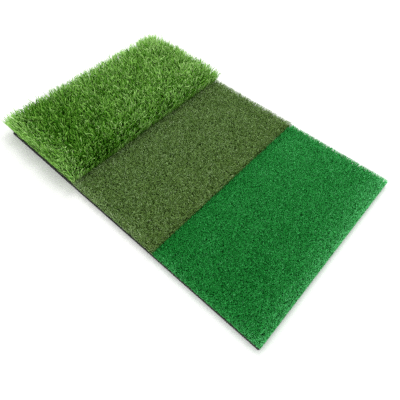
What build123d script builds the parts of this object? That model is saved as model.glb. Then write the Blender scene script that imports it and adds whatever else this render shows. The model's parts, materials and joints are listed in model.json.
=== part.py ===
"""Golf hitting mat: three turf panels of different pile height glued side by
side on one rubber base.

Frame: millimetres, +Z up. The origin is the centre of the base's underside.
+X runs along the mat from the long rough turf to the short tee turf, and +Y
runs across the mat.

Stack, from the floor up: rubber base, then for each panel an adhesive film, a
latex backing coat, the woven primary cloth that the yarn is tufted through,
and the pile itself.
"""
from build123d import *
import os

os.makedirs("parts", exist_ok=True)

# ---- overall -------------------------------------------------------------
BASE_LENGTH = 635.0          # 25 in, along X
BASE_WIDTH = 406.0           # 16 in, along Y
BASE_THICK = 3.0
BASE_CORNER_R = 2.0          # knife-cut sheet with slightly eased corners
BASE_TOP_EASE = 0.3          # small chamfer round the top edge

# ---- non-slip ribbing in the underside -----------------------------------
GROOVE_WIDTH = 1.6
GROOVE_DEPTH = 0.4
GROOVE_PITCH = 12.4
GROOVE_COUNT = 50            # even, so that a plain land lies on the centre
GROOVE_LENGTH = BASE_WIDTH - 10.0

# ---- panels along the length ---------------------------------------------
ROUGH_LENGTH = 202.0
FAIRWAY_LENGTH = 211.5
TEE_LENGTH = BASE_LENGTH - ROUGH_LENGTH - FAIRWAY_LENGTH
SEAM_GAP = 0.3               # each panel is a separate cut strip, butted close
CLOTH_JOINT_GAP = 0.15       # half gap that the cut cloth leaves at a seam

# margin of bare base left round the cut turf (side = Y edges, end = X edges)
ROUGH_SIDE_MARGIN = 1.8
FAIRWAY_SIDE_MARGIN = 1.2
TEE_SIDE_MARGIN = 0.7
ROUGH_END_MARGIN = 1.6
TEE_END_MARGIN = 0.7

# ---- layers under the pile -----------------------------------------------
ADHESIVE_THICK = 0.25
ADHESIVE_INSET = 2.0         # the glue stops short of the cut turf edge
LATEX_THICK = 0.85
CLOTH_THICK = 0.40

Z_ADHESIVE = BASE_THICK
Z_LATEX = Z_ADHESIVE + ADHESIVE_THICK
Z_CLOTH = Z_LATEX + LATEX_THICK
Z_PILE = Z_CLOTH + CLOTH_THICK          # 4.5 above the floor

# ---- pile heights above the cloth ----------------------------------------
ROUGH_PILE = 38.0
FAIRWAY_PILE = 11.0
TEE_PILE = 8.5
ROUGH_FLARE = 7.0            # how far the outer rough blades lean outwards
ROUGH_TOP_ROUND = 5.0        # the tips fall away round the top edge
SHORT_TOP_EASE = 1.4         # the same on the two short piles

HALF_L = BASE_LENGTH / 2
HALF_W = BASE_WIDTH / 2

# turf outlines: x from, x to, half width
rough_x0 = -HALF_L + ROUGH_END_MARGIN
rough_x1 = -HALF_L + ROUGH_LENGTH - SEAM_GAP / 2
rough_hw = HALF_W - ROUGH_SIDE_MARGIN

fairway_x0 = -HALF_L + ROUGH_LENGTH + SEAM_GAP / 2
fairway_x1 = -HALF_L + ROUGH_LENGTH + FAIRWAY_LENGTH - SEAM_GAP / 2
fairway_hw = HALF_W - FAIRWAY_SIDE_MARGIN

tee_x0 = -HALF_L + ROUGH_LENGTH + FAIRWAY_LENGTH + SEAM_GAP / 2
tee_x1 = HALF_L - TEE_END_MARGIN
tee_hw = HALF_W - TEE_SIDE_MARGIN


# ======================= rubber base =======================================
with BuildPart() as rubber_base:
    with BuildSketch(Plane.XY) as base_outline:
        RectangleRounded(BASE_LENGTH, BASE_WIDTH, BASE_CORNER_R)
    extrude(amount=BASE_THICK)
    chamfer(rubber_base.edges().group_by(Axis.Z)[-1], length=BASE_TOP_EASE)
    # shallow grooves across the underside, kept clear of the cut edge
    with BuildSketch(Plane.XY) as base_grooves:
        with GridLocations(GROOVE_PITCH, 1.0, GROOVE_COUNT, 1):
            SlotOverall(GROOVE_LENGTH, GROOVE_WIDTH, rotation=90)
    extrude(amount=GROOVE_DEPTH, mode=Mode.SUBTRACT)
rubber_base.part.label = "rubber_base"
export_step(rubber_base.part, "parts/rubber_base.step")


# ======================= rough panel =======================================
rough_cx = (rough_x0 + rough_x1) / 2
rough_len = rough_x1 - rough_x0

with BuildPart() as rough_adhesive:
    with BuildSketch(Plane.XY.offset(Z_ADHESIVE)) as rough_glue_outline:
        with Locations((rough_cx, 0)):
            RectangleRounded(rough_len - 2 * ADHESIVE_INSET,
                             2 * (rough_hw - ADHESIVE_INSET), 4.0)
    extrude(amount=ADHESIVE_THICK)
rough_adhesive.part.label = "rough_adhesive"
export_step(rough_adhesive.part, "parts/rough_adhesive.step")

with BuildPart() as rough_latex_backing:
    with BuildSketch(Plane.XY.offset(Z_LATEX)) as rough_latex_outline:
        with Locations((rough_cx, 0)):
            Rectangle(rough_len, 2 * rough_hw)
    extrude(amount=LATEX_THICK)
rough_latex_backing.part.label = "rough_latex_backing"
export_step(rough_latex_backing.part, "parts/rough_latex_backing.step")

with BuildPart() as rough_primary_cloth:
    with BuildSketch(Plane.XY.offset(Z_CLOTH)) as rough_cloth_outline:
        with Locations((rough_cx, 0)):
            Rectangle(rough_len - 2 * CLOTH_JOINT_GAP, 2 * rough_hw)
    extrude(amount=CLOTH_THICK)
rough_primary_cloth.part.label = "rough_primary_cloth"
export_step(rough_primary_cloth.part, "parts/rough_primary_cloth.step")

# The long pile as one closed envelope: it flares outwards on its free sides,
# stands straight beside the fairway up to that pile's height and leans over
# it above, and its top edge falls away.
rough_top = Z_PILE + ROUGH_PILE
lean_from = Z_PILE + FAIRWAY_PILE + 0.5
with BuildPart() as rough_pile:
    with BuildSketch(Plane.XZ) as rough_profile_long:
        with BuildLine() as rough_line_long:
            Polyline(
                (rough_x0, Z_PILE),
                (rough_x1, Z_PILE),
                (rough_x1, lean_from),
                (rough_x1 + ROUGH_FLARE, rough_top - ROUGH_TOP_ROUND),
                (rough_x1 + ROUGH_FLARE - ROUGH_TOP_ROUND, rough_top),
                (rough_x0 - ROUGH_FLARE + ROUGH_TOP_ROUND, rough_top),
                (rough_x0 - ROUGH_FLARE, rough_top - ROUGH_TOP_ROUND),
                close=True,
            )
        make_face()
    extrude(amount=HALF_W + 30.0, both=True)
    with BuildSketch(Plane.YZ) as rough_profile_cross:
        with BuildLine() as rough_line_cross:
            Polyline(
                (-rough_hw, Z_PILE),
                (rough_hw, Z_PILE),
                (rough_hw + ROUGH_FLARE, rough_top - ROUGH_TOP_ROUND),
                (rough_hw + ROUGH_FLARE - ROUGH_TOP_ROUND, rough_top),
                (-rough_hw - ROUGH_FLARE + ROUGH_TOP_ROUND, rough_top),
                (-rough_hw - ROUGH_FLARE, rough_top - ROUGH_TOP_ROUND),
                close=True,
            )
        make_face()
    extrude(amount=HALF_L + 30.0, both=True, mode=Mode.INTERSECT)
rough_pile.part.label = "rough_pile"
export_step(rough_pile.part, "parts/rough_pile.step")


# ======================= fairway panel =====================================
fairway_cx = (fairway_x0 + fairway_x1) / 2
fairway_len = fairway_x1 - fairway_x0

with BuildPart() as fairway_adhesive:
    with BuildSketch(Plane.XY.offset(Z_ADHESIVE)) as fairway_glue_outline:
        with Locations((fairway_cx, 0)):
            RectangleRounded(fairway_len - 2 * ADHESIVE_INSET,
                             2 * (fairway_hw - ADHESIVE_INSET), 4.0)
    extrude(amount=ADHESIVE_THICK)
fairway_adhesive.part.label = "fairway_adhesive"
export_step(fairway_adhesive.part, "parts/fairway_adhesive.step")

with BuildPart() as fairway_latex_backing:
    with BuildSketch(Plane.XY.offset(Z_LATEX)) as fairway_latex_outline:
        with Locations((fairway_cx, 0)):
            Rectangle(fairway_len, 2 * fairway_hw)
    extrude(amount=LATEX_THICK)
fairway_latex_backing.part.label = "fairway_latex_backing"
export_step(fairway_latex_backing.part, "parts/fairway_latex_backing.step")

with BuildPart() as fairway_primary_cloth:
    with BuildSketch(Plane.XY.offset(Z_CLOTH)) as fairway_cloth_outline:
        with Locations((fairway_cx, 0)):
            Rectangle(fairway_len - 2 * CLOTH_JOINT_GAP, 2 * fairway_hw)
    extrude(amount=CLOTH_THICK)
fairway_primary_cloth.part.label = "fairway_primary_cloth"
export_step(fairway_primary_cloth.part, "parts/fairway_primary_cloth.step")

# medium, curly pile; its two long seams stand straight, the free sides ease
with BuildPart() as fairway_pile:
    with BuildSketch(Plane.XY.offset(Z_PILE)) as fairway_pile_outline:
        with Locations((fairway_cx, 0)):
            Rectangle(fairway_len - 2 * CLOTH_JOINT_GAP, 2 * fairway_hw)
    extrude(amount=FAIRWAY_PILE)
    chamfer(fairway_pile.edges().group_by(Axis.Z)[-1], length=SHORT_TOP_EASE)
fairway_pile.part.label = "fairway_pile"
export_step(fairway_pile.part, "parts/fairway_pile.step")


# ======================= tee panel =========================================
tee_cx = (tee_x0 + tee_x1) / 2
tee_len = tee_x1 - tee_x0

with BuildPart() as tee_adhesive:
    with BuildSketch(Plane.XY.offset(Z_ADHESIVE)) as tee_glue_outline:
        with Locations((tee_cx, 0)):
            RectangleRounded(tee_len - 2 * ADHESIVE_INSET,
                             2 * (tee_hw - ADHESIVE_INSET), 4.0)
    extrude(amount=ADHESIVE_THICK)
tee_adhesive.part.label = "tee_adhesive"
export_step(tee_adhesive.part, "parts/tee_adhesive.step")

with BuildPart() as tee_latex_backing:
    with BuildSketch(Plane.XY.offset(Z_LATEX)) as tee_latex_outline:
        with Locations((tee_cx, 0)):
            Rectangle(tee_len, 2 * tee_hw)
    extrude(amount=LATEX_THICK)
tee_latex_backing.part.label = "tee_latex_backing"
export_step(tee_latex_backing.part, "parts/tee_latex_backing.step")

with BuildPart() as tee_primary_cloth:
    with BuildSketch(Plane.XY.offset(Z_CLOTH)) as tee_cloth_outline:
        with Locations((tee_cx, 0)):
            Rectangle(tee_len - 2 * CLOTH_JOINT_GAP, 2 * tee_hw)
    extrude(amount=CLOTH_THICK)
tee_primary_cloth.part.label = "tee_primary_cloth"
export_step(tee_primary_cloth.part, "parts/tee_primary_cloth.step")

# short, dense pile
with BuildPart() as tee_pile:
    with BuildSketch(Plane.XY.offset(Z_PILE)) as tee_pile_outline:
        with Locations((tee_cx, 0)):
            Rectangle(tee_len - 2 * CLOTH_JOINT_GAP, 2 * tee_hw)
    extrude(amount=TEE_PILE)
    chamfer(tee_pile.edges().group_by(Axis.Z)[-1], length=SHORT_TOP_EASE)
tee_pile.part.label = "tee_pile"
export_step(tee_pile.part, "parts/tee_pile.step")
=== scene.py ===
import json
import math

import bpy
import numpy as np
from mathutils import Matrix, Vector

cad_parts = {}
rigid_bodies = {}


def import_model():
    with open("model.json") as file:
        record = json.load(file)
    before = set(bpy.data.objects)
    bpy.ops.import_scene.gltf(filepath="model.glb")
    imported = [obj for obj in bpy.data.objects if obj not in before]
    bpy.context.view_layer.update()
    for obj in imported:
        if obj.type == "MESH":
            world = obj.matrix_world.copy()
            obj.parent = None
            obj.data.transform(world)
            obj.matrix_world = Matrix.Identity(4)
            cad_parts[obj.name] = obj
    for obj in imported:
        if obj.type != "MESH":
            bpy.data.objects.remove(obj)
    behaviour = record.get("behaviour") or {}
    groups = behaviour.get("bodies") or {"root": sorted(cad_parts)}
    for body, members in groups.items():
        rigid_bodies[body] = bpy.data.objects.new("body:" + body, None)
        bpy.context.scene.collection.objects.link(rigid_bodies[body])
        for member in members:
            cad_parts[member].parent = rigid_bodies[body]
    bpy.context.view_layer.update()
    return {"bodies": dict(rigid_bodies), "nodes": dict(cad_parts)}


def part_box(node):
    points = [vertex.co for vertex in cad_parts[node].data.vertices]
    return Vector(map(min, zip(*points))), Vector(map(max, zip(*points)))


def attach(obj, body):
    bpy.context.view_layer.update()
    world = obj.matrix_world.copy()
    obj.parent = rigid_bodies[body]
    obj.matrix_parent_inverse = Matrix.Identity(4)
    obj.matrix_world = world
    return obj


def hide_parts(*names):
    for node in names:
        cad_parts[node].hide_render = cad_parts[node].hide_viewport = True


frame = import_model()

BODY = sorted(frame["bodies"])[0]
MM = 0.001

# ---------------------------------------------------------------------------
# camera, floor and light
# ---------------------------------------------------------------------------
scene = bpy.context.scene
scene.view_settings.view_transform = "Standard"
scene.view_settings.look = "None"
scene.view_settings.exposure = 0.0
scene.view_settings.gamma = 1.0
scene.cycles.use_denoising = False  # the denoiser smears strands that are about a pixel wide

cam_data = bpy.data.cameras.new("camera")
cam_data.sensor_width = 36.0
cam_data.lens = 33.07
cam_data.clip_start, cam_data.clip_end = 0.02, 60.0
cam = bpy.data.objects.new("camera", cam_data)
scene.collection.objects.link(cam)
right = Vector((0.74448095, 0.66736469, 0.01929988)).normalized()
forward = Vector((-0.36285439, 0.42871065, -0.82737166)).normalized()
up = right.cross(forward).normalized()
right = forward.cross(up).normalized()
cam.matrix_world = Matrix(
    (
        (right.x, up.x, -forward.x, 0.3250),
        (right.y, up.y, -forward.y, -0.3549),
        (right.z, up.z, -forward.z, 0.5618),
        (0, 0, 0, 1),
    )
)
scene.camera = cam

world = bpy.data.worlds.new("studio")
scene.world = world
world.use_nodes = True
world.node_tree.nodes["Background"].inputs[0].default_value = (1.0, 1.0, 1.0, 1)
world.node_tree.nodes["Background"].inputs[1].default_value = 1.0


def area_light(name, place, target, size, watts, colour=(1, 1, 1)):
    data = bpy.data.lights.new(name, "AREA")
    data.shape = "RECTANGLE"
    data.size, data.size_y = size
    data.energy = watts
    data.color = colour
    o = bpy.data.objects.new(name, data)
    scene.collection.objects.link(o)
    o.location = place
    o.rotation_euler = (Vector(target) - Vector(place)).to_track_quat("-Z", "Y").to_euler()
    return o


area_light("key", (-0.15, 0.70, 1.55), (0.0, 0.05, 0.0), (0.8, 0.8), 11.0, (1.0, 0.995, 0.985))


# ---------------------------------------------------------------------------
# node helpers
# ---------------------------------------------------------------------------
def material(name):
    m = bpy.data.materials.new(name)
    m.use_nodes = True
    return m, m.node_tree.nodes, m.node_tree.links, m.node_tree.nodes["Principled BSDF"]


def ramp(nodes, stops, interpolation="LINEAR"):
    r = nodes.new("ShaderNodeValToRGB")
    r.color_ramp.interpolation = interpolation
    el = r.color_ramp.elements
    while len(el) > 1:
        el.remove(el[-1])
    el[0].position, el[0].color = stops[0][0], (*stops[0][1], 1)
    for p, c in stops[1:]:
        e = el.new(p)
        e.color = (*c, 1)
    return r


def noise(nodes, scale, detail=4.0, rough=0.55, distortion=0.0):
    n = nodes.new("ShaderNodeTexNoise")
    n.inputs["Scale"].default_value = scale
    n.inputs["Detail"].default_value = detail
    n.inputs["Roughness"].default_value = rough
    n.inputs["Distortion"].default_value = distortion
    return n


def mix(nodes, links, a, b, fac, kind="MIX"):
    m = nodes.new("ShaderNodeMix")
    m.data_type = "RGBA"
    m.blend_type = kind
    for s, v in ((m.inputs[0], fac), (m.inputs[6], a), (m.inputs[7], b)):
        if hasattr(v, "is_linked") or hasattr(v, "links"):
            links.new(v, s)
        elif isinstance(v, (int, float)):
            s.default_value = v
        else:
            s.default_value = (*v, 1)
    return m.outputs[2]


def bump(nodes, links, height, strength, distance, bsdf):
    b = nodes.new("ShaderNodeBump")
    b.inputs["Strength"].default_value = strength
    b.inputs["Distance"].default_value = distance
    links.new(height, b.inputs["Height"])
    links.new(b.outputs[0], bsdf.inputs["Normal"])
    return b


def yarn_material(name, roots, tips, shade, roughness, specular, sheen=0.0):
    """Turf yarn: the colour across the palette is the UV's U, and the change from root to tip its V. The darker
    roots palette is partly the yarn's own colour and partly painted shade, and `shade` multiplies in painted shade
    towards the roots, deep in the pile.
    """
    m, nodes, links, bsdf = material(name)
    uv = nodes.new("ShaderNodeUVMap")
    uv.uv_map = "OFBake"
    sep = nodes.new("ShaderNodeSeparateXYZ")
    links.new(uv.outputs[0], sep.inputs[0])
    low, high = ramp(nodes, roots), ramp(nodes, tips)
    links.new(sep.outputs[0], low.inputs[0])
    links.new(sep.outputs[0], high.inputs[0])
    along = ramp(nodes, [(0.0, (0, 0, 0)), (0.35, (0.25, 0.25, 0.25)), (1.0, (1, 1, 1))])
    links.new(sep.outputs[1], along.inputs[0])
    colour = mix(nodes, links, low.outputs[0], high.outputs[0], along.outputs[0])
    # painted shade: the colour is multiplied darker towards the roots, deep in the pile
    dark = ramp(nodes, shade)
    links.new(sep.outputs[1], dark.inputs[0])
    links.new(mix(nodes, links, colour, dark.outputs[0], 1.0, "MULTIPLY"), bsdf.inputs["Base Color"])
    bsdf.inputs["Roughness"].default_value = roughness
    bsdf.inputs["Specular IOR Level"].default_value = specular
    bsdf.inputs["Sheen Weight"].default_value = sheen
    return m


# ---------------------------------------------------------------------------
# turf yarn geometry
# ---------------------------------------------------------------------------
def field(rng, x, y, wave, n=30):
    """A smooth random field over the mat with features about `wave` metres wide and a spread of 1."""
    a = rng.uniform(0, 2 * math.pi, n)
    k = 2 * math.pi / (wave * rng.uniform(0.65, 1.6, n))
    p = rng.uniform(0, 2 * math.pi, n)
    v = np.zeros_like(x)
    for i in range(n):
        v += np.cos(k[i] * (x * math.cos(a[i]) + y * math.sin(a[i])) + p[i])
    return v / math.sqrt(n / 2)


def tuft_grid(rng, lo, hi, gauge, stitch, margin, jitter=0.16):
    """Root places of the tufts: rows across the mat, one gauge apart, a stitch between tufts.
    `margin` is how far the outer tufts stand in from the cut edge on -X, +X, -Y and +Y."""
    x0, x1, y0, y1 = lo[0] + margin[0], hi[0] - margin[1], lo[1] + margin[2], hi[1] - margin[3]
    nx = max(2, int(round((x1 - x0) / gauge)) + 1)
    ny = max(2, int(round((y1 - y0) / stitch)) + 1)
    gx = np.linspace(x0, x1, nx)
    gy = np.linspace(y0, y1, ny)
    X, Y = np.meshgrid(gx, gy, indexing="ij")
    Y = Y + ((np.arange(nx)[:, None] % 2) - 0.5) * 0.5 * (y1 - y0) / ny
    row = np.repeat(np.arange(nx), ny)
    X = X.ravel() + rng.normal(0, jitter * gauge, X.size)
    Y = Y.ravel() + rng.normal(0, jitter * stitch, Y.size)
    return np.clip(X, x0, x1), np.clip(Y, y0, y1), row, nx


def strands(root, azimuth, lean, bend, length, width, facing, twist, fold, tip, curl, turns, phase, segments, power):
    """Ribbons that follow a leaning, bending and curling line. All arguments but the last two are arrays, one value a strand.
    Gives the points (strand, station, across, xyz)."""
    n = len(root)
    s = np.linspace(0, 1, segments + 1)
    mid = (s[:-1] + s[1:]) / 2
    theta = lean[:, None] + bend[:, None] * mid[None, :] ** power
    step = (length / segments)[:, None]
    d = np.stack([np.cos(azimuth), np.sin(azimuth), np.zeros(n)], 1)
    e = np.stack([-np.sin(azimuth), np.cos(azimuth), np.zeros(n)], 1)
    out = np.concatenate([np.zeros((n, 1)), np.cumsum(np.sin(theta) * step, 1)], 1)
    rise = np.concatenate([np.zeros((n, 1)), np.cumsum(np.cos(theta) * step, 1)], 1)
    wave = 2 * math.pi * turns[:, None] * s[None, :] + phase[:, None]
    grow = np.minimum(1.0, s * 3.0)[None, :]
    ce = curl[:, None] * grow * (np.sin(wave) - np.sin(phase)[:, None])
    cd = curl[:, None] * grow * (np.cos(wave) - np.cos(phase)[:, None]) * 0.8
    line = root[:, None, :] + d[:, None, :] * (out + cd)[..., None] + e[:, None, :] * ce[..., None]
    line[..., 2] += rise
    tangent = np.gradient(line, axis=1)
    tangent /= np.maximum(np.linalg.norm(tangent, axis=2, keepdims=True), 1e-9)
    ang = facing[:, None] + twist[:, None] * s[None, :]
    h = np.stack([np.cos(ang), np.sin(ang), np.zeros_like(ang)], 2)
    w = h - (h * tangent).sum(2, keepdims=True) * tangent
    w /= np.maximum(np.linalg.norm(w, axis=2, keepdims=True), 1e-9)
    nrm = np.cross(tangent, w)
    taper = 1 - (1 - tip)[:, None] * np.clip((s[None, :] - 0.45) / 0.55, 0, 1) ** 2
    half = (0.5 * width[:, None] * taper)[..., None]
    if fold is None:
        return np.stack([line - w * half, line + w * half], 2), s
    dip = half * fold[:, None, None]
    return np.stack([line - w * half, line - nrm * dip, line + w * half], 2), s


def yarn_mesh(name, points, s, hue, lift, span, mat):
    """Joins ribbons into one mesh with its own UV map: U is the strand's place in the palette, V runs root to tip.
    `lift` is where V starts: 0 in the depth of the pile, more on the outer strands, whose roots light reaches."""
    n, st, k, _ = points.shape
    index = np.arange(n * st * k).reshape(n, st, k)
    a, b = index[:, :-1, :-1], index[:, :-1, 1:]
    c, d = index[:, 1:, 1:], index[:, 1:, :-1]
    quads = np.stack([a, b, c, d], -1).reshape(-1, 4)
    u = hue[:, None, None] + span * (np.arange(k) / (k - 1) - 0.5)[None, None, :] + np.zeros((n, st, k))
    v = 0.01 + 0.98 * (lift[:, None, None] + (1 - lift[:, None, None]) * s[None, :, None]) + np.zeros((n, st, k))
    uv = np.stack([np.clip(u, 0.004, 0.996), v], -1).reshape(-1, 2)
    me = bpy.data.meshes.new(name)
    me.vertices.add(n * st * k)
    me.vertices.foreach_set("co", points.astype(np.float32).ravel())
    me.loops.add(quads.size)
    me.loops.foreach_set("vertex_index", quads.astype(np.int32).ravel())
    me.polygons.add(len(quads))
    me.polygons.foreach_set("loop_start", np.arange(0, quads.size, 4, dtype=np.int32))
    me.update(calc_edges=True)
    layer = me.uv_layers.new(name="OFBake")
    layer.data.foreach_set("uv", uv[quads.ravel()].astype(np.float32).ravel())
    me.polygons.foreach_set("use_smooth", np.ones(len(quads), bool))
    me.materials.append(mat)
    me.update()
    o = bpy.data.objects.new(name, me)
    scene.collection.objects.link(o)
    return o


def near_edge(x, y, lo, hi, reach):
    """1 at each free edge, falling to 0 inside: the four sides -X, +X, -Y, +Y."""
    return (
        np.exp(-np.maximum(x - lo[0], 0) / reach), np.exp(-np.maximum(hi[0] - x, 0) / reach),
        np.exp(-np.maximum(y - lo[1], 0) / reach), np.exp(-np.maximum(hi[1] - y, 0) / reach),
    )


def weigh(x, y, lo, hi, reach, strength):
    """The sum of the four sides' nearness, each with its own strength."""
    return sum(s * e for s, e in zip(strength, near_edge(x, y, lo, hi, reach)))


def sheared(pts, z, target):
    """Scales each strand's rise so that its highest point stands at its target height, as the pile is sheared level."""
    rise = pts[..., 2].max(axis=(1, 2)) - z
    k = np.clip(target / np.maximum(rise, 1e-5), 0.45, 1.35)
    pts[..., 2] = z + (pts[..., 2] - z) * k[:, None, None]
    pts[..., 2] = np.maximum(pts[..., 2], z)
    return pts


def cut_faces(pts, z, lo, hi, allow, flare, give):
    """Holds the strands behind the pile's four cut faces, which start `allow` outside the cloth's edge and lean out by
    `flare`. A strand that would pass its face is pressed back to it, all but `give` of the way."""
    h = np.maximum(pts[..., 2] - z, 0)
    for axis, low, high in ((0, 0, 1), (1, 2, 3)):
        face = lo[axis] - allow[low] - flare[low] * h
        pts[..., axis] += (1 - give) * np.maximum(face - pts[..., axis], 0)
        face = hi[axis] + allow[high] + flare[high] * h
        pts[..., axis] -= (1 - give) * np.maximum(pts[..., axis] - face, 0)
    return pts


ORDER = ("root", "azimuth", "lean", "bend", "length", "width", "facing", "twist", "fold", "tip", "curl", "turns", "phase")


def in_bands(args, target, hue, lift, z, lo, hi, faces, band, bands, name, mat, node, segments, power):
    made = []
    for i in range(bands):
        k = band == i
        pts, s = strands(*[None if args[q] is None else args[q][k] for q in ORDER], segments, power)
        pts = cut_faces(sheared(pts, z, target[k]), z, lo, hi, *faces)
        o = yarn_mesh(f"{name}_{i + 1}", pts, s, hue[k], lift[k], 0.018, mat)
        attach(o, BODY)
        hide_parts(node)
        made.append(o)
    return made


def long_pile(rng, lo, hi, z, height, gauge, stitch, per_tuft, width, mat, name, bands, node, light, painted_near_tone, painted_light_trend):
    """Long blades: most stand nearly upright, a third are brighter and reach the top, and the outer ones lean out.
    The tone set by the distance from the -Y edge is painted light near the edge and painted shade further in; the
    tone shifts along the other edges and across the mat are painted light and shade as well."""
    x, y, row, rows = tuft_grid(rng, lo, hi, gauge, stitch, (0.0016, 0.0010, 0.0028, 0.0012))
    n = len(x)
    fx = 0.04 * field(rng, x, y, 0.050) + rng.normal(0, 0.04, n)
    fy = 0.04 * field(rng, x, y, 0.050) + rng.normal(0, 0.04, n)
    e = near_edge(x, y, lo, hi, 0.0120)
    rag = field(rng, x, y, 0.016) * (e[0] + 0.4 * e[3])
    ex = -0.30 * e[0] + 0.40 * e[1] - 0.07 * rag
    ey = -0.24 * e[2] + 0.24 * e[3]
    # tuft tone: random clumps plus a painted light gradient across the mat
    clump_and_painted_light_hue = 0.03 * field(rng, x, y, 0.060) + rng.normal(0, 0.03, n) + painted_light_trend[0] * x + painted_light_trend[1] * y
    # painted light along the free edges
    for reach, strength in light:
        clump_and_painted_light_hue = clump_and_painted_light_hue + weigh(x, y, lo, hi, reach, strength)
    # painted light close to the -Y edge and painted shade further in
    clump_and_painted_light_hue = clump_and_painted_light_hue + np.interp(y - lo[1], *painted_near_tone)
    tuft_h = 1 + 0.02 * field(rng, x, y, 0.035) + rng.normal(0, 0.02, n) + 0.05 * rag
    t = np.repeat(np.arange(n), per_tuft)
    m = len(t)
    bright = rng.random(m) < 0.34
    ring = rng.uniform(0, 2 * math.pi, m)
    spread = rng.uniform(0.04, 0.42, m)
    vx = fx[t] + ex[t] + spread * np.cos(ring)
    vy = fy[t] + ey[t] + spread * np.sin(ring)
    lean = np.clip(np.hypot(vx, vy), 0, 0.60)
    azimuth = np.arctan2(vy, vx)
    inside = rng.random(m)
    root = np.stack([x[t] + 0.0012 * np.cos(ring) * inside, y[t] + 0.0010 * np.sin(ring) * inside, np.full(m, z)], 1)
    out = np.hypot(ex, ey)[t]
    target = height * tuft_h[t] * np.where(bright, rng.normal(0.975, 0.045, m), rng.normal(0.86, 0.08, m)) * (1 - 0.22 * out)
    target = np.minimum(target, 1.12 * height)
    args = dict(
        root=root, azimuth=azimuth, lean=lean, bend=rng.normal(0.26, 0.32, m) * np.maximum(1 - 2.0 * out, 0.2),
        length=target / np.cos(lean) * 1.02, width=width * rng.uniform(0.8, 1.2, m),
        facing=rng.uniform(0, 2 * math.pi, m), twist=rng.normal(0, 0.7, m), fold=rng.uniform(0.18, 0.40, m),
        tip=rng.uniform(0.40, 0.80, m), curl=rng.uniform(0.0002, 0.0009, m), turns=rng.uniform(0.4, 1.2, m),
        phase=rng.uniform(0, 2 * math.pi, m),
    )
    hue = np.where(bright, 0.72, 0.22) + clump_and_painted_light_hue[t] + rng.normal(0, 0.13, m)
    # painted light: blades close to the -Y edge are pushed towards a pale hue
    hue = np.clip(hue + np.interp((y - lo[1])[t], (0.0, 0.012, 0.022), (0.68, 0.58, 0.0)) * (0.74 - hue), 0.02, 0.98)
    lift = np.clip(weigh(root[:, 0], root[:, 1], lo, hi, 0.0080, (0.80, 0.46, 0.60, 0.80)), 0, 0.75)
    faces = ((0.0006, 0.0012, -0.0018, 0.0006), (0.27, 0.37, 0.23, 0.22), 0.20)
    return in_bands(args, target, hue, lift, z, lo, hi, faces, (row[t] * bands) // rows, bands, name, mat, node, 5, 1.6)


def short_pile(rng, lo, hi, z, height, gauge, stitch, per_tuft, width, mat, name, bands, node,
               margin, curl, hook, top, tones, spark, light, painted_light_trend, lifts, fan, uneven=0.02, faces=None):
    """Short crimped yarn: a share `top` of the strands reaches the sheared face and hooks over, the rest stay a little
    below it, and a share `spark` of the top ones are the pale tips that stand out, partly paler yarn and partly painted
    highlight. `fan` is the outward lean at the four sides. The tone shifts along the edges and across the mat are
    painted light and shade."""
    x, y, row, rows = tuft_grid(rng, lo, hi, gauge, stitch, margin, 0.12)
    n = len(x)
    e = near_edge(x, y, lo, hi, 0.0030)
    fx = rng.normal(0, 0.03, n) - fan[0] * e[0] + fan[1] * e[1]
    fy = rng.normal(0, 0.03, n) - fan[2] * e[2] + fan[3] * e[3]
    # tuft tone: random clumps plus a painted light and shade gradient across the mat
    clump_and_painted_light = 0.012 * field(rng, x, y, 0.060) + rng.normal(0, 0.012, n) + painted_light_trend[0] * (x - lo[0]) + painted_light_trend[1] * y
    # painted light along the free edges, painted shade where a term is negative
    for reach, strength in light:
        clump_and_painted_light = clump_and_painted_light + weigh(x, y, lo, hi, reach, strength)
    tuft_h = 1 + 0.006 * field(rng, x, y, 0.05) + rng.normal(0, uneven, n)
    t = np.repeat(np.arange(n), per_tuft)
    m = len(t)
    high = rng.random(m) < top
    ring = rng.uniform(0, 2 * math.pi, m)
    spread = rng.uniform(0.05, 0.38, m)
    vx = fx[t] + spread * np.cos(ring)
    vy = fy[t] + spread * np.sin(ring)
    lean = np.clip(np.hypot(vx, vy), 0, 0.7)
    azimuth = np.arctan2(vy, vx)
    inside = np.sqrt(rng.random(m))
    root = np.stack([x[t] + np.cos(ring) * inside * 0.54 * gauge, y[t] + np.sin(ring) * inside * 0.62 * stitch, np.full(m, z)], 1)
    root[:, 0] = np.clip(root[:, 0], lo[0] + 0.3 * margin[0], hi[0] - 0.3 * margin[1])
    root[:, 1] = np.clip(root[:, 1], lo[1] + 0.3 * margin[2], hi[1] - 0.3 * margin[3])
    target = height * tuft_h[t] * np.where(high, rng.normal(1.0, 0.03, m), rng.normal(0.89, 0.05, m))
    args = dict(
        root=root, azimuth=azimuth, lean=lean, bend=np.where(high, rng.uniform(hook[0], hook[1], m), rng.normal(0.3, 0.4, m)),
        length=target * np.where(high, rng.uniform(1.08, 1.30, m), 1.05), width=width * rng.uniform(0.75, 1.25, m),
        facing=azimuth + math.pi / 2 + rng.normal(0, 0.6, m), twist=rng.normal(0, 0.8, m), fold=None,
        tip=rng.uniform(0.5, 0.95, m), curl=rng.uniform(curl[0], curl[1], m), turns=rng.uniform(0.8, 1.8, m),
        phase=rng.uniform(0, 2 * math.pi, m),
    )
    # pale strands: partly paler yarn, partly painted highlight on the tips
    pale = high & (rng.random(m) < spark)
    hue = np.where(high, tones[0], tones[1]) + clump_and_painted_light[t] + rng.normal(0, 0.09, m)
    hue = np.clip(np.where(pale, hue + tones[2], hue), 0.02, 0.98)
    lift = np.clip(weigh(root[:, 0], root[:, 1], lo, hi, 0.0030, lifts), 0, 0.75)
    return in_bands(args, target, hue, lift, z, lo, hi, faces, (row[t] * bands) // rows, bands, name, mat, node, 4, 2.2)
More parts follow.
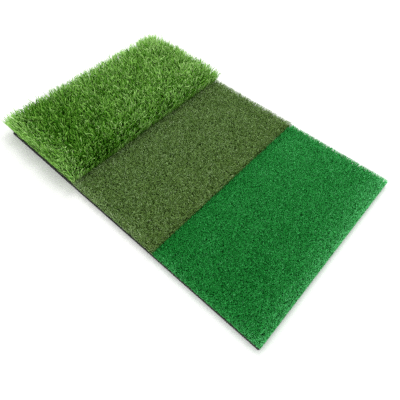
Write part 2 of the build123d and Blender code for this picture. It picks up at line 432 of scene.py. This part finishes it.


# ---------------------------------------------------------------------------
# the three piles
# ---------------------------------------------------------------------------
# each shade list is painted shade, darker towards the roots of the yarn
rough_mat = yarn_material(
    "rough_yarn",
    roots=[(0.0, (0.0105, 0.07875, 0.001)), (0.5, (0.042, 0.168, 0.003)), (1.0, (0.126, 0.294, 0.03))],
    tips=[(0.0, (0.038, 0.207, 0.004)), (0.35, (0.127, 0.378, 0.021)), (0.65, (0.303, 0.635, 0.100)), (1.0, (0.585, 0.89, 0.33))],
    shade=[(0.0, (0.31, 0.31, 0.31)), (0.55, (0.51, 0.51, 0.51)), (0.8, (0.83, 0.83, 0.83)), (0.94, (1, 1, 1))],
    roughness=0.50, specular=0.14,
)
fairway_mat = yarn_material(
    "fairway_yarn",
    roots=[(0.0, (0.046, 0.094, 0.0092)), (0.5, (0.092, 0.176, 0.028)), (1.0, (0.161, 0.270, 0.067))],
    tips=[(0.0, (0.06037, 0.1315, 0.01564)), (0.25, (0.09878, 0.1918, 0.03128)), (0.45, (0.1372, 0.2685, 0.05809)),
          (0.6, (0.214, 0.3452, 0.08938)), (0.8, (0.3183, 0.5152, 0.2123)), (1.0, (0.5488, 0.7015, 0.3798))],
    shade=[(0.0, (0.70, 0.70, 0.70)), (0.5, (0.92, 0.92, 0.92)), (0.85, (1, 1, 1)), (1.0, (1, 1, 1))],
    roughness=0.65, specular=0.12,
)
tee_mat = yarn_material(
    "tee_yarn",
    roots=[(0.0, (0.006, 0.17, 0.017)), (0.5, (0.013, 0.28, 0.037)), (1.0, (0.040, 0.38, 0.073))],
    tips=[(0.0, (0.0055, 0.196, 0.0178)), (0.35, (0.0160, 0.315, 0.0465)), (0.65, (0.054, 0.487, 0.107)), (1.0, (0.225, 0.88, 0.36))],
    shade=[(0.0, (0.85, 0.85, 0.85)), (0.5, (0.96, 0.96, 0.96)), (0.85, (1, 1, 1)), (1.0, (1, 1, 1))],
    roughness=0.65, specular=0.10,
)

rough_lo, rough_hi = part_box("rough_primary_cloth")
fair_lo, fair_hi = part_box("fairway_primary_cloth")
tee_lo, tee_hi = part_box("tee_primary_cloth")
rough_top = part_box("rough_pile")[1].z
fair_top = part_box("fairway_pile")[1].z
tee_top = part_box("tee_pile")[1].z

# rough: painted light along the -X, +X and +Y edges; the -Y tone profile is painted light near the edge and painted
# shade further in; the gradient is painted light, lighter towards +Y
long_pile(
    np.random.default_rng(11), rough_lo, rough_hi, rough_hi.z, rough_top - rough_hi.z,
    0.0070, 0.0040, 10, 0.00168, rough_mat, "rough_blades_rows", 4, "rough_pile",
    light=((0.018, (0.33, 0.0, 0.0, 0.18)), (0.040, (0.0, 0.16, 0.0, 0.17))),
    painted_near_tone=((0.0, 0.004, 0.014, 0.020, 0.032, 0.050, 0.090, 0.160), (0.26, 0.34, 0.44, 0.24, -0.11, -0.19, -0.13, 0.0)),
    painted_light_trend=(0.0, 0.30),
)
# fairway: painted light along the -Y and +Y edges and along the -X side, where the rough shades it; the gradient is
# painted shade towards +X and painted light towards +Y
short_pile(
    np.random.default_rng(23), fair_lo, fair_hi, fair_hi.z, fair_top - fair_hi.z,
    0.0050, 0.0028, 14, 0.00058, fairway_mat, "fairway_yarn_rows", 4, "fairway_pile",
    margin=(0.0012, 0.0012, 0.0008, 0.0008), curl=(0.0003, 0.0008), hook=(0.35, 1.5), top=0.55, tones=(0.50, 0.34, 0.30),
    spark=0.23, light=((0.0055, (0.0, 0.0, 0.36, 0.10)), (0.012, (0.20, 0.0, 0.0, 0.0))), painted_light_trend=(-0.20, 0.06), lifts=(0.9, 0.0, 0.7, 0.6),
    fan=(0.0, 0.0, 0.0, 0.32), faces=((0.0, 0.0002, 0.0002, 0.0006), (0.10, 0.08, 0.03, 0.30), 0.20),
)
# tee: painted light along the +X, -Y and +Y edges and painted shade along the -X seam (the negative terms); the
# gradient is painted shade towards +X and painted light towards +Y
short_pile(
    np.random.default_rng(37), tee_lo, tee_hi, tee_hi.z, tee_top - tee_hi.z,
    0.0052, 0.0026, 21, 0.00051, tee_mat, "tee_yarn_rows", 7, "tee_pile",
    margin=(0.0042, 0.0008, 0.0008, 0.0008), curl=(0.0002, 0.0006), hook=(0.25, 1.3), top=0.62, tones=(0.48, 0.38, 0.26),
    spark=0.16, light=((0.0045, (-0.04, 0.20, 0.30, 0.08)), (0.010, (-0.12, 0.0, 0.0, 0.0)), (0.022, (0.0, 0.34, 0.04, 0.03))), painted_light_trend=(-0.20, 0.42),
    lifts=(0.0, 0.5, 0.6, 0.5), fan=(0.0, 0.25, 0.0, 0.30),
    faces=((0.0, 0.0003, 0.0001, 0.0008), (0.10, 0.16, 0.03, 0.22), 0.06), uneven=0.008,
)


# ---------------------------------------------------------------------------
# materials of the CAD layers
# ---------------------------------------------------------------------------
def put(node, mat):
    o = frame["nodes"][node]
    o.data.materials.clear()
    o.data.materials.append(mat)


rubber, nodes, links, bsdf = material("base_rubber")
tex = nodes.new("ShaderNodeTexCoord")
big, fine = noise(nodes, 14.0, 5.0, 0.6), noise(nodes, 900.0, 3.0, 0.6)
links.new(tex.outputs["Object"], big.inputs["Vector"])
links.new(tex.outputs["Object"], fine.inputs["Vector"])
tone = ramp(nodes, [(0.3, (0.018, 0.019, 0.018)), (0.7, (0.040, 0.042, 0.039))])
links.new(big.outputs[0], tone.inputs[0])
dust = ramp(nodes, [(0.45, (0, 0, 0)), (0.8, (0.5, 0.5, 0.5))])
links.new(fine.outputs[0], dust.inputs[0])
links.new(mix(nodes, links, tone.outputs[0], (0.085, 0.085, 0.078), dust.outputs[0]), bsdf.inputs["Base Color"])
bsdf.inputs["Roughness"].default_value = 0.72
bsdf.inputs["Specular IOR Level"].default_value = 0.35
bump(nodes, links, fine.outputs[0], 0.35, 0.0004, bsdf)
put("rubber_base", rubber)

latex, nodes, links, bsdf = material("latex_coat")
tex = nodes.new("ShaderNodeTexCoord")
n1, n2 = noise(nodes, 60.0, 5.0), noise(nodes, 1400.0, 3.0)
links.new(tex.outputs["Object"], n1.inputs["Vector"])
links.new(tex.outputs["Object"], n2.inputs["Vector"])
tone = ramp(nodes, [(0.3, (0.030, 0.032, 0.026)), (0.7, (0.060, 0.062, 0.050))])
links.new(n1.outputs[0], tone.inputs[0])
links.new(tone.outputs[0], bsdf.inputs["Base Color"])
bsdf.inputs["Roughness"].default_value = 0.8
bump(nodes, links, n2.outputs[0], 0.4, 0.0003, bsdf)

cloth, nodes, links, bsdf = material("primary_cloth")
tex = nodes.new("ShaderNodeTexCoord")
sep = nodes.new("ShaderNodeSeparateXYZ")
links.new(tex.outputs["Object"], sep.inputs[0])


def stripes(source, pitch):
    w = nodes.new("ShaderNodeMath")
    w.operation = "MULTIPLY"
    w.inputs[1].default_value = 2 * math.pi / pitch
    links.new(source, w.inputs[0])
    c = nodes.new("ShaderNodeMath")
    c.operation = "SINE"
    links.new(w.outputs[0], c.inputs[0])
    return c.outputs[0]


weave = nodes.new("ShaderNodeMath")
weave.operation = "MULTIPLY"
links.new(stripes(sep.outputs[0], 0.0022), weave.inputs[0])
links.new(stripes(sep.outputs[1], 0.0022), weave.inputs[1])
tape = ramp(nodes, [(0.2, (0.012, 0.020, 0.010)), (0.9, (0.040, 0.060, 0.032))])
half = nodes.new("ShaderNodeMapRange")
half.inputs["From Min"].default_value = -1.0
links.new(weave.outputs[0], half.inputs["Value"])
links.new(half.outputs[0], tape.inputs[0])
links.new(tape.outputs[0], bsdf.inputs["Base Color"])
bsdf.inputs["Roughness"].default_value = 0.7
bump(nodes, links, half.outputs[0], 0.6, 0.0003, bsdf)

glue, nodes, links, bsdf = material("dried_glue")
tex = nodes.new("ShaderNodeTexCoord")
n1 = noise(nodes, 45.0, 6.0, 0.6, 0.4)
links.new(tex.outputs["Object"], n1.inputs["Vector"])
tone = ramp(nodes, [(0.3, (0.075, 0.066, 0.042)), (0.7, (0.14, 0.125, 0.085))])
links.new(n1.outputs[0], tone.inputs[0])
links.new(tone.outputs[0], bsdf.inputs["Base Color"])
bsdf.inputs["Roughness"].default_value = 0.45
bump(nodes, links, n1.outputs[0], 0.3, 0.0005, bsdf)

for panel in ("rough", "fairway", "tee"):
    put(f"{panel}_latex_backing", latex)
    put(f"{panel}_primary_cloth", cloth)
    put(f"{panel}_adhesive", glue)

# ---------------------------------------------------------------------------
# floor
# ---------------------------------------------------------------------------
floor_mesh = bpy.data.meshes.new("floor")
r = 6.0
floor_mesh.from_pydata([(-r, -r, 0), (r, -r, 0), (r, r, 0), (-r, r, 0)], [], [(0, 1, 2, 3)])
floor = bpy.data.objects.new("floor", floor_mesh)
floor.location.z = -0.0002
scene.collection.objects.link(floor)
fm, nodes, links, bsdf = material("floor")
bsdf.inputs["Base Color"].default_value = (0.93, 0.93, 0.925, 1)
bsdf.inputs["Roughness"].default_value = 0.9
bsdf.inputs["Specular IOR Level"].default_value = 0.1
floor_mesh.materials.append(fm)

bpy.context.view_layer.update()
